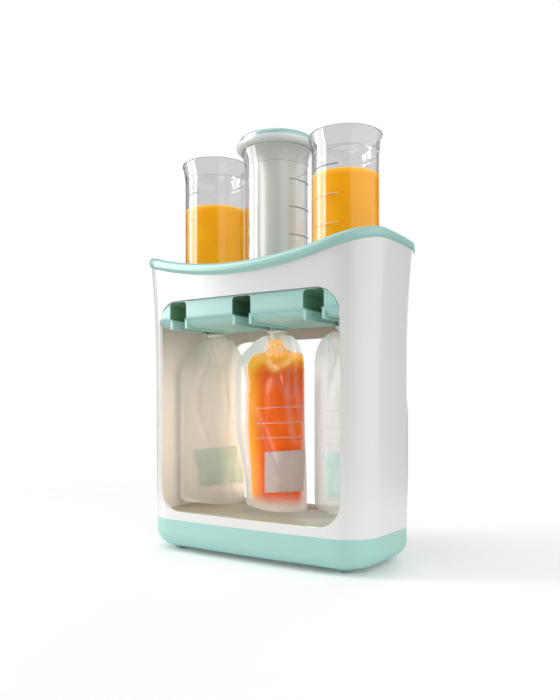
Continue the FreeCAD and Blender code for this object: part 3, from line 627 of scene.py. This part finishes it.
def mark_bar(name, centre, height, start, end, material):
    """Raised bar that follows the outside of a tube."""
    points = []
    faces = []
    half, quarter, edge = MARK_TALL / 2, MARK_TALL / 4, MARK_THICK * 0.7
    profile = ((0, -half), (edge, -half), (MARK_THICK, -quarter),
               (MARK_THICK, quarter), (edge, half), (0, half))
    count = len(profile)
    for step in range(MARK_STEPS + 1):
        angle = start + (end - start) * step / MARK_STEPS
        for out, up in profile:
            reach = TUBE_RADIUS - MARK_SINK + out
            points.append((
                (centre[0] + reach * math.cos(angle)) * MM,
                (centre[1] + reach * math.sin(angle)) * MM,
                (height + up) * MM,
            ))
    for step in range(MARK_STEPS):
        for side in range(count):
            a = step * count + side
            b = step * count + (side + 1) % count
            faces.append((a, b, b + count, a + count))
    faces.append(tuple(range(count - 1, -1, -1)))
    last = MARK_STEPS * count
    faces.append(tuple(last + n for n in range(count)))
    return make_mesh(name, points, faces, material, 60)


def tube_section():
    """Closed section of a tube's wall, from the outlet up to the lip and back inside."""
    straight_top = FLARE_START - 1
    lower = soften([
        (OUTLET_BORE, TUBE_TIP, 0.3), (OUTLET_RADIUS, TUBE_TIP, 0.6),
        (OUTLET_RADIUS, TUBE_SHOULDER, 0.6), (TUBE_RADIUS - 3, TUBE_SHOULDER, 0.8),
        (TUBE_RADIUS, TUBE_SHOULDER + 3, 1.5), (TUBE_RADIUS, straight_top, 0),
        (TUBE_BORE, straight_top, 0), (TUBE_BORE, TUBE_FLOOR, 1.5),
        (OUTLET_BORE, TUBE_FLOOR - FUNNEL_DEPTH, 0.8),
    ])
    split = 1 + next(i for i, p in enumerate(lower) if abs(p[1] - straight_top) < TINY)
    outside = trumpet(TUBE_RADIUS, TUBE_RIM - TUBE_RADIUS, FLARE_START, TUBE_TOP - 1.0,
                      FLARE_BEND, FLARE_STEPS)
    inside = trumpet(TUBE_BORE, TUBE_RIM - RIM_WALL - TUBE_BORE, FLARE_START + 2.2,
                     TUBE_TOP - 0.4, FLARE_BEND, FLARE_STEPS)
    lip = [(TUBE_RIM - 0.15, TUBE_TOP - 0.4), (TUBE_RIM - 0.7, TUBE_TOP)]
    step = [(TUBE_BORE + 0.25, FLARE_START + 2.0), (TUBE_BORE, FLARE_START + 1.4)]
    return lower[:split] + outside + lip + inside[::-1] + step + lower[split:]


def make_tubes():
    section = tube_section()
    for side in SIDES:
        centre = CENTRES[side]
        tube = lathe(f"tube_{side}_clear", section, centre, "clear_plastic", TUBE_SEGMENTS)
        tube.visible_shadow = False
        tube.visible_diffuse = False
        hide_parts(f"tube_{side}")
        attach(tube, f"{side}_tube")
        facing = facing_angle(side)
        low, high = (math.radians(a) for a in MARK_ARCS[side])
        for number, height in enumerate(MARK_HEIGHTS):
            rib = mark_bar(
                f"tube_{side}_mark_{number}", centre, height, facing + low, facing + high,
                # Marks in front of the food take painted light, marks above it painted shade
                "mark_painted_light" if height < food_level(side) else "mark_painted_shade",
            )
            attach(rib, f"{side}_tube")


def make_tube_food():
    wide = TUBE_BORE + FOOD_SINK
    bottom = TUBE_FLOOR - 3.3
    for side in ("left", "right"):
        level = food_level(side)
        section = soften([
            (0, bottom, 0), (3.3, bottom, 0.5), (wide, TUBE_FLOOR + 0.2, 1.2),
            (wide, level - FOOD_EDGE, 0), (wide, level + 0.2, 0.9), (wide - 3, level - 0.5, 1.0),
            (0, level - 0.2, 0),
        ])
        food = lathe(f"tube_{side}_food", section, CENTRES[side], "tube_puree")
        heights = [vertex.co.z / MM for vertex in food.data.vertices]
        # Painted glow: paler and brighter towards the top of the food
        thin_painted_glow = [0.8 * smooth((z - level + FOOD_EDGE) / FOOD_EDGE) for z in heights]
        add_layer(food, "thin_painted_glow", thin_painted_glow)
        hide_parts(f"tube_puree_{side}")
        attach(food, f"{side}_tube")
        food.visible_diffuse = False


# Press: domed cap, trumpet-headed shaft and soft piston

CAP_INSET = 2.8
CAP_EDGE = 1.6
DOME_DROP = 0.5
DOME_STEPS = 10
FLANGE = 320.7
SHAFT_RADIUS, SHAFT_BORE = 15.5, 13
SHAFT_FOOT = 222
TRUMPET_START = 296
TRUMPET_SPREAD = 8.1
TRUMPET_BEND = 2.6
TRUMPET_STEPS = 16
WIPER_RADIUS = 24.2
PISTON_TIP = 207.1
PRESS_SEGMENTS = 160


def make_press():
    centre = CENTRES["middle"]
    low, high = node_box("press_cap")
    wide = (high[0] - low[0]) / 2
    seat = low[2] + 0.4
    half = wide - CAP_INSET
    flat = half - CAP_EDGE
    dome = []
    for step in range(DOME_STEPS + 1):
        radius = flat * (1 - step / DOME_STEPS)
        dome.append((radius, high[2] + 0.1 - DOME_DROP * (radius / flat) ** 2))
    edge = [(half - 0.6, seat), (half - 0.1, seat + 0.5), (half, seat + 2.4),
            (half - 0.3, seat + 3.5), (half - 0.9, seat + 4.1)]
    cap = lathe("press_cap_mint", [(0, seat)] + edge + dome, centre, "cap_plastic",
                PRESS_SEGMENTS)
    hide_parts("press_cap")
    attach(cap, "press")
    head = trumpet(SHAFT_RADIUS, TRUMPET_SPREAD, TRUMPET_START, FLANGE, TRUMPET_BEND,
                   TRUMPET_STEPS)
    rim = [(29.2, FLANGE), (wide - 1.9, FLANGE + 0.4), (wide - 0.8, FLANGE + 1.5),
           (wide - 0.4, FLANGE + 2.9), (wide - 0.6, FLANGE + 4.1), (wide - 1.5, seat)]
    bore = [(SHAFT_BORE, seat), (SHAFT_BORE, SHAFT_FOOT)]
    section = [(SHAFT_RADIUS, SHAFT_FOOT)] + head + rim + bore
    shaft = lathe("press_shaft_cream", section, centre, "cream_plastic", PRESS_SEGMENTS)
    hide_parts("press_shaft")
    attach(shaft, "press")
    piston = soften([
        (0, PISTON_TIP, 0), (OUTLET_BORE, PISTON_TIP, 0.4), (WIPER_RADIUS, 210.4, 0.5),
        (WIPER_RADIUS, 213.4, 0.6), (21.5, 214.4, 0.8), (21.5, 218, 0.8),
        (WIPER_RADIUS, 219, 0.5), (WIPER_RADIUS, SHAFT_FOOT, 0.5), (12.9, SHAFT_FOOT, 0.3),
        (12.9, 231, 0.6), (0, 231, 0),
    ])
    seal = lathe("press_piston_soft", piston, centre, "soft_seal")
    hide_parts("press_piston")
    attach(seal, "press")


# Pouches: each film is two panels whose depth is a function of the place on the panel

POUCH_LOW, POUCH_HIGH = node_box("pouch_film_middle")
POUCH_BOTTOM = POUCH_LOW[2] - 0.8
POUCH_TOP = POUCH_HIGH[2]
POUCH_TALL = POUCH_TOP - POUCH_BOTTOM
POUCH_HALF = (POUCH_HIGH[0] - POUCH_LOW[0]) / 2
NECK_HALF = 9.0
BOAT_DEEP, BOAT_HALF = 6.6, 12.0
SEAM = 3.5
LEAST_DEPTH = 0.22
FOOT_SAG = 1.6
FILM_COLUMNS, FILM_ROWS = 72, 110
# Share of the height where the arched top begins, and where it does over the food's left side
SHOULDER = 0.77
SHOULDER_FULL = 0.83
# Radius of the lower corners of each bag
CORNER = {"left": 7.0, "middle": 3.5, "right": 10.0}
# Half thickness of each bag
SWELL = {"left": 3.2, "middle": 15.0, "right": 3.4}
# How far the left seam bends forward and the right seam backward
CURL = {"left": (11.0, 3.0), "middle": (15.0, 0.5), "right": (-4.0, 0.0)}
# Share of the half width that each bag keeps on its left and on its right
WIDE = {"left": (1.0, 0.91), "middle": (1.0, 0.84), "right": (0.97, 1.0)}
# Where each bag's waves begin
SEED = {"left": 3.0, "middle": 7.0, "right": 11.0}

# Folds in the film: upper end, lower end, width and depth, in mm from the spout axis
FOLDS = {
    "left": (
        ((-2, 170), (-9, 156), 2.4, 1.2), ((-9, 156), (-16, 134), 2.6, 1.6),
        ((-16, 134), (-16, 112), 2.8, 1.5), ((-16, 112), (-6, 86), 2.8, 1.4),
        ((5, 171), (11, 136), 2.0, 1.4), ((11, 136), (14, 112), 1.8, 1.1),
        ((-24, 84), (-16, 42), 2.4, 0.8), ((18, 70), (12, 40), 2.2, 0.6),
    ),
    "middle": (
        ((16, 161), (19, 128), 3.0, 2.2), ((19, 128), (23, 92), 3.4, 2.0),
        ((-7, 166), (-16, 150), 2.4, 1.0), ((8, 142), (14, 128), 1.6, 1.2),
        ((-5, 104), (9, 71), 2.4, 1.3), ((-16, 122), (-6, 104), 2.6, 0.8),
        ((2, 169), (0, 160), 0.9, 0.8), ((-3, 169), (-7, 160), 0.9, 0.8),
        ((6, 169), (9, 160), 0.9, 0.8), ((14, 70), (18, 42), 2.4, 0.9),
    ),
    "right": (
        ((-4, 168), (-14, 120), 4.0, 0.5), ((3, 170), (5, 96), 4.0, 0.4),
    ),
}
# Bow-shaped fold of the filled bag under its neck
BIB_MIDDLE, BIB_HALF, BIB_LOW, BIB_RISE = 3.0, 13.0, 147.0, 10.5

# Food of the filled bag: its edges, how far its upper left leans out, and its heights
FOOD_LEFT, FOOD_RIGHT = -18.3, 24.8
FOOD_LEAN, LEAN_START, LEAN_SPAN = 4.0, 128.0, 24.0
FOOD_BOTTOM = 39.5
FOOD_SHOULDER = 157.0
FOOD_TOP = 170.8
FOOD_COLUMNS, FOOD_ROWS = 96, 120
# Gap between food and film, and how much it grows towards the neck
FILM_GAP, GAP_GROWTH, GROWTH_START, GROWTH_SPAN = 0.45, 0.75, 148.0, 7.0


def pouch_width(side, across, share):
    """Half width of a bag at a share of its height: straight sides and an arched top."""
    full = POUCH_HALF * WIDE[side][0 if across < 0 else 1]
    if side == "middle" and across >= 0:
        full *= 1.0 + 0.09 * (1 - smooth(share / 0.6))
    shoulder = SHOULDER_FULL if side == "middle" and across < 0 else SHOULDER
    if share <= shoulder:
        below = max(0.0, 1 - POUCH_TALL * share / CORNER[side])
        return full - CORNER[side] * (1 - math.sqrt(1 - 0.98 * below ** 2))
    rise = (share - shoulder) / (1 - shoulder)
    return NECK_HALF + (full - NECK_HALF) * math.sqrt(max(0.0, 1 - rise ** 2.3))


def fold_nearness(side, x, z):
    """For each fold: how near a place is to it, in fold widths, how strong it is there."""
    for (x1, z1), (x2, z2), width, deep in FOLDS[side]:
        along = ((x - x1) * (x2 - x1) + (z - z1) * (z2 - z1)) / ((x2 - x1) ** 2 + (z2 - z1) ** 2)
        held = max(0.0, min(1.0, along))
        gap = math.hypot(x - x1 - held * (x2 - x1), z - z1 - held * (z2 - z1)) / width
        yield gap, deep * math.sin(math.pi * max(0.04, min(0.96, held))) ** 0.5


def fold_depth(side, x, z):
    """How far the folds draw the film in at a place."""
    depth = 0.0
    for gap, deep in fold_nearness(side, x, z):
        depth += deep * math.exp(-gap * gap)
    return depth


def bib_share(x, z):
    """1 on the bow-shaped fold of the filled bag under its neck, 0 away from it."""
    reach = (x - BIB_MIDDLE) / BIB_HALF
    if abs(reach) > 1.1:
        return 0.0
    low = BIB_LOW + BIB_RISE * reach ** 2
    broken = 0.75 + 0.9 * noise.noise(Vector((x * 0.35, z * 0.3, 4.0)))
    return math.exp(-((z - low) / 3.0) ** 2) * smooth((1.1 - abs(reach)) * 4) * min(1.0, broken)


def pouch_depth(side, across, share, sign):
    """Depth of a panel at a place across from -1 to 1 and up from 0 to 1."""
    wide = pouch_width(side, across, share)
    x = across * wide
    z = POUCH_BOTTOM + POUCH_TALL * share
    seam = SEAM if side != "middle" or across < 0 else SEAM * 0.3
    inner = max(1.0, wide - seam)
    r = min(1.0, abs(x) / inner)
    full = 0.45 + 0.55 * smooth(share / 0.10)
    fade = 1.0 - smooth((share - 0.66) / 0.30)
    body = SWELL[side] * full * fade * (1 - r ** 2.4) ** 0.62
    boat = BOAT_DEEP * smooth((share - 0.80) / 0.19) * max(0.0, 1 - (x / BOAT_HALF) ** 2) ** 0.8
    seed = SEED[side]
    wave = noise.noise(Vector((x * 0.05 + seed, share * 3.1, sign * 2.0 + seed)))
    crease = noise.noise(Vector((x * 0.17, share * 6.0 + seed, sign * 5.0)))
    pucker = smooth((share - 0.78) / 0.16) * math.sin(x * 1.1 + 2.0 * wave) * 0.5
    loose = (1 - r ** 3) * (0.25 + 0.75 * smooth(share / 0.06))
    depth = max(body, boat, 0.25)
    if sign < 0:
        depth -= fold_depth(side, x, z) * (1 - r ** 4)
        if side == "middle":
            depth -= 1.4 * bib_share(x, z)
    depth += (0.8 * wave + 0.35 * crease + pucker) * loose * 0.8
    return max(LEAST_DEPTH, depth)


def curl(side, across, share):
    """Forward bend of one seam and backward bend of the other, none at the neck."""
    hold = 1 - smooth((share - 0.80) / 0.18)
    forward, backward = CURL[side]
    if side == "middle":
        forward *= smooth((share - 0.07) / 0.46)
    amount = -forward if across < 0 else backward
    return amount * abs(across) ** 1.6 * hold


def pouch_place(side, across, share, sign, lift=0.0):
    """A point on a panel in mm, front panel for sign -1."""
    cx, cy = CENTRES[side]
    z = POUCH_BOTTOM + POUCH_TALL * share
    sag = FOOT_SAG * (1 - across ** 2) * (1 - smooth(share / 0.07))
    y = sign * (pouch_depth(side, across, share, sign) + lift) + curl(side, across, share)
    x = across * pouch_width(side, across, share)
    return (cx + x, cy + y, z + FOOT_SAG * (1 - smooth(share / 0.07)) - sag)


def panel_share(side, x, z):
    """Place on a panel, across and up, of a point in mm from the spout axis."""
    share = (z - POUCH_BOTTOM) / POUCH_TALL
    return max(-0.99, min(0.99, x / pouch_width(side, x, share))), share


def food_limits(z):
    """Left and right edge of the food at a height."""
    if z <= FOOD_SHOULDER:
        base = 1.5 - smooth((z - FOOD_BOTTOM) / 5.0) * 1.5
        drop = max(0.0, (z - (FOOD_SHOULDER - 4.0)) / 4.0)
        edge = 2.4 * (1 - math.sqrt(max(0.0, 1 - drop ** 2)))
        lean = FOOD_LEAN * smooth((z - LEAN_START) / LEAN_SPAN)
        return FOOD_LEFT - lean + base + edge, FOOD_RIGHT - base - edge
    t = (z - FOOD_SHOULDER) / (FOOD_TOP - FOOD_SHOULDER)
    half = 6.4 + 11.5 * (1 - smooth(t * 2.6)) + 6.0 * (1 - smooth(t * 1.2))
    middle = ((FOOD_RIGHT + FOOD_LEFT) / 2 - 2.0) * (1 - smooth(t * 2.0))
    return middle - half, middle + half


def touch(side, x, z):
    """1 where food wets the film, 0 where the film hangs free."""
    if side != "middle":
        return 0.0
    limits = food_limits(max(FOOD_BOTTOM, min(z, FOOD_TOP)))
    left = smooth((x - limits[0] + 1.5) / (4.5 if z < FOOD_SHOULDER else 2.5))
    right = smooth((limits[1] - x + 1.5) / 2.5)
    low = smooth((z - FOOD_BOTTOM + 2.0) / 12.0)
    high = 1.0 - 0.25 * smooth((z - FOOD_SHOULDER + 1.0) / 5.0)
    wet = left * right * low * high
    for gap, deep in fold_nearness(side, x, z):
        wet *= 1 - 0.16 * min(1.0, deep) * math.exp(-((gap - 0.9) ** 2) * 4.0)
    if z > FOOD_SHOULDER - 1.0:
        wet *= 1 - 0.9 * max(0.0, noise.noise(Vector((x * 0.8, z * 0.12, 9.0))))
    return wet * (1 - 0.4 * bib_share(x, z - 0.8))


def thin_painted_glow_share(x, z):
    """Share of painted glow: 1 at the left edge and the shoulder of the food, where its layer
    gets thinner, and a painted highlight along the bow-shaped fold.
    """
    left = food_limits(z)[0]
    edge = 1 - smooth((x - left) / 17.0)
    high = smooth((z - 143.0) / 15.0)
    return min(1.0, 0.85 * edge + 0.9 * high + 0.8 * bib_share(x, z))


def film_sheet(name, side, material):
    """Closed bag of two panels, sealed down both sides."""
    columns, rows = FILM_COLUMNS, FILM_ROWS
    points = []
    faces = []
    wet = []
    grid = {}
    for sign in (-1, 1):
        for row in range(rows + 1):
            share = row / rows
            for column in range(columns + 1):
                across = -math.cos(math.pi * column / columns)
                edge = column in (0, columns)
                if edge and sign > 0:
                    grid[sign, row, column] = grid[-1, row, column]
                    continue
                grid[sign, row, column] = len(points)
                place = pouch_place(side, across, share, sign)
                if edge:
                    place = (place[0], place[1] + pouch_depth(side, across, share, -1), place[2])
                points.append([v * MM for v in place])
                wet.append(touch(side, place[0] - CENTRES[side][0], place[2]))
    for sign in (-1, 1):
        for row in range(rows):
            for column in range(columns):
                quad = [grid[sign, row, column], grid[sign, row, column + 1],
                        grid[sign, row + 1, column + 1], grid[sign, row + 1, column]]
                faces.append(tuple(quad) if sign < 0 else tuple(reversed(quad)))
    for row in (0, rows):
        for column in range(columns):
            quad = [grid[-1, row, column], grid[1, row, column],
                    grid[1, row, column + 1], grid[-1, row, column + 1]]
            unique = list(dict.fromkeys(quad))
            if len(unique) > 2:
                faces.append(tuple(unique) if row == 0 else tuple(reversed(unique)))
    bag = make_mesh(name, points, faces, material, 80)
    add_layer(bag, "touch", wet)
    return bag


def food_bag(name, side):
    """Food inside the filled bag, just behind the film."""
    columns, rows = FOOD_COLUMNS, FOOD_ROWS
    points = []
    faces = []
    thin_painted_glow = []
    cx, cy = CENTRES[side]
    for row in range(rows + 1):
        z = FOOD_BOTTOM + (FOOD_TOP - FOOD_BOTTOM) * row / rows
        left, right = food_limits(z)
        middle, half = (left + right) / 2, (right - left) / 2
        gap = FILM_GAP + GAP_GROWTH * smooth((z - GROWTH_START) / GROWTH_SPAN)
        for column in range(columns):
            angle = 2 * math.pi * column / columns
            x = middle + half * math.cos(angle)
            sign = -1 if math.sin(angle) < 0 else 1
            across, share = panel_share(side, x, z)
            depth = max(0.3, pouch_depth(side, across, share, sign) - gap)
            inset = min(1.0, abs(math.sin(angle)) * 2.2) ** 0.7
            y = sign * depth * inset + curl(side, across, share)
            points.append(((cx + x) * MM, (cy + y) * MM, z * MM))
            thin_painted_glow.append(thin_painted_glow_share(x, z))
    for row in range(rows):
        for column in range(columns):
            follow = (column + 1) % columns
            faces.append((row * columns + column, row * columns + follow,
                          (row + 1) * columns + follow, (row + 1) * columns + column))
    faces.append(tuple(reversed(range(columns))))
    faces.append(tuple(rows * columns + n for n in range(columns)))
    food = make_mesh(name, points, faces, "pouch_puree", 80)
    add_layer(food, "thin_painted_glow", thin_painted_glow)
    return food


# Prints and spouts of the pouches

PRINT_CELL = 1.2
PRINT_LIFT = 0.25
PRINT_THICK = 0.1
LINE_HALF = 0.3
SPOUT_BORE = 4.0
SPOUT_NECK = 6.1
SPOUT_COLLAR = 8.1
SPOUT_HEAD = 8.15
THREAD_FOOT = 5.4
THREAD_CREST = 5.7
THREAD_START, THREAD_PITCH, THREAD_TURNS = 190.4, 2.1, 3
SPOUT_SEGMENTS = 64
# Each pouch: label material, edges, slant and shear, then its lines' heights, ends and tilt
PRINTS = {
    "left": ("label_grey", (-18.0, 22.5, 48.5, 79.0), 0.12, 0.2,
             (115.4, 103.7, 92.8), (16.0, 27.5), 0.0),
    "middle": ("label_pink", (-1.5, 26.0, 49.0, 81.0), 0.08, 0.0,
               (115.3, 103.2, 91.7), (-9.0, 25.0), 0.05),
    "right": ("label_mint", (-17.0, 16.0, 48.0, 82.3), 0.0, 0.0,
              (113.6, 100.9, 88.7), (-17.0, 14.0), 0.0),
}


def film_patch(name, side, left, right, low, high, material, slant=0.0, shear=0.0):
    """Thin printed patch on the front panel; edges in mm from the spout axis."""
    columns = max(2, int((right - left) / PRINT_CELL))
    rows = max(1, int((high - low) / PRINT_CELL))
    points = []
    faces = []
    for layer in (0, 1):
        for row in range(rows + 1):
            for column in range(columns + 1):
                x = left + (right - left) * column / columns
                z = low + (high - low) * row / rows + slant * (x - left)
                x += shear * (high - z)
                across, share = panel_share(side, x, z)
                lift = PRINT_LIFT + PRINT_THICK * layer
                points.append([v * MM for v in pouch_place(side, across, share, -1, lift)])
    step = (columns + 1) * (rows + 1)

    def at(layer, row, column):
        return layer * step + row * (columns + 1) + column

    for row in range(rows):
        for column in range(columns):
            back = (at(0, row, column), at(0, row + 1, column),
                    at(0, row + 1, column + 1), at(0, row, column + 1))
            faces.append(back)
            faces.append(tuple(step + n for n in reversed(back)))
    rim = [(0, c) for c in range(columns)] + [(r, columns) for r in range(rows)]
    rim += [(rows, c) for c in range(columns, 0, -1)] + [(r, 0) for r in range(rows, 0, -1)]
    for here, follow in zip(rim, rim[1:] + rim[:1]):
        faces.append((at(0, *here), at(0, *follow), at(1, *follow), at(1, *here)))
    return make_mesh(name, points, faces, material, 60)


def make_spout(side):
    centre = CENTRES[side]
    low, high = node_box(f"pouch_spout_{side}")
    stem = [(SPOUT_BORE, 170.2), (5.7, 170.2), (6.05, 171.0), (SPOUT_NECK, 175.4)]
    collar = [(7.7, 176.2), (SPOUT_COLLAR, 176.5), (SPOUT_COLLAR, 177.6), (7.8, 177.9),
              (SPOUT_NECK, 178.1)]
    head = [(SPOUT_NECK, 186.7), (7.9, 186.8), (SPOUT_HEAD, 187.1), (SPOUT_HEAD, 188.6),
            (7.9, 188.9), (THREAD_FOOT, 189.3)]
    thread = []
    for turn in range(THREAD_TURNS):
        z = THREAD_START + turn * THREAD_PITCH
        thread += [(5.5, z), (THREAD_CREST, z + 0.35), (THREAD_CREST, z + 0.75),
                   (THREAD_FOOT, z + 1.1)]
    mouth = [(THREAD_FOOT, high[2] - 0.5), (5.0, high[2]), (SPOUT_BORE, high[2])]
    body = "middle_pouch" if side == "middle" else f"{side}_spout"
    spout = lathe(f"pouch_{side}_spout", stem + collar + head + thread + mouth, centre,
                  "spout_plastic", SPOUT_SEGMENTS)
    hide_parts(f"pouch_spout_{side}")
    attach(spout, body)


def make_pouches():
    for side in SIDES:
        make_spout(side)
        body = f"{side}_pouch"
        material = "film_full" if side == "middle" else "film_empty"
        bag = film_sheet(f"pouch_{side}_film", side, material)
        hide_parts(f"pouch_film_{side}")
        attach(bag, body)
        label, edges, slant, shear, heights, (start, end), tilt = PRINTS[side]
        panel = film_patch(f"pouch_{side}_label", side, *edges, label, slant=slant, shear=shear)
        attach(panel, body)
        for number, height in enumerate(heights):
            line = film_patch(f"pouch_{side}_line_{number}", side, start, end,
                              height - LINE_HALF, height + LINE_HALF, "print_white", slant=tilt)
            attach(line, body)
    food = food_bag("pouch_middle_food", "middle")
    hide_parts("pouch_puree_middle")
    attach(food, "middle_pouch")


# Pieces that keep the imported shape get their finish

KEPT = {
    "base_tray": "mint_plastic",
    "top_tray": "mint_plastic",
    "pouch_rail": "rail_plastic_painted_shade",
    "body_shell": "shell_plastic",
    "floor_plate": "floor_plate",
    "foot_front_left": "foot_rubber",
    "foot_front_right": "foot_rubber",
    "foot_rear_left": "foot_rubber",
    "foot_rear_right": "foot_rubber",
}


def dress_kept():
    for node, material in KEPT.items():
        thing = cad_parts[node]
        for slot in thing.material_slots:
            slot.material = MATERIALS[material]


# Floor: pale paper that fades out round the part

FLOOR_GLOW = 0.12
FLOOR_HALF = 3.0
FADE_START, FADE_END = 0.24, 0.60


def add_floor():
    half = FLOOR_HALF
    mesh = bpy.data.meshes.new("floor")
    mesh.from_pydata([(-half, -half, 0), (half, -half, 0), (half, half, 0), (-half, half, 0)],
                     [], [(0, 1, 2, 3)])
    floor = bpy.data.objects.new("floor", mesh)
    scene.collection.objects.link(floor)
    material, tree, bsdf = shader("floor_paper")
    reach = tree.nodes.new("ShaderNodeVectorMath")
    reach.operation = "LENGTH"
    tree.links.new(own_place(tree), reach.inputs[0])
    fade = value_range(tree, reach.outputs["Value"], 1.0, 0.0, FADE_START, FADE_END)
    fade.node.interpolation_type = "SMOOTHSTEP"
    tree.links.new(fade, bsdf.inputs["Alpha"])
    bsdf.inputs["Base Color"].default_value = (0.93, 0.93, 0.925, 1)
    bsdf.inputs["Roughness"].default_value = 0.7
    bsdf.inputs["Specular IOR Level"].default_value = 0.2
    bsdf.inputs["Emission Color"].default_value = (1, 1, 1, 1)
    path = tree.nodes.new("ShaderNodeLightPath")
    tree.links.new(value_range(tree, path.outputs["Is Camera Ray"], 0.0, FLOOR_GLOW),
                   bsdf.inputs["Emission Strength"])
    mesh.materials.append(material)


add_camera()
add_surround()
add_lamps()
dress_kept()
make_tubes()
make_tube_food()
make_press()
make_pouches()
add_floor()
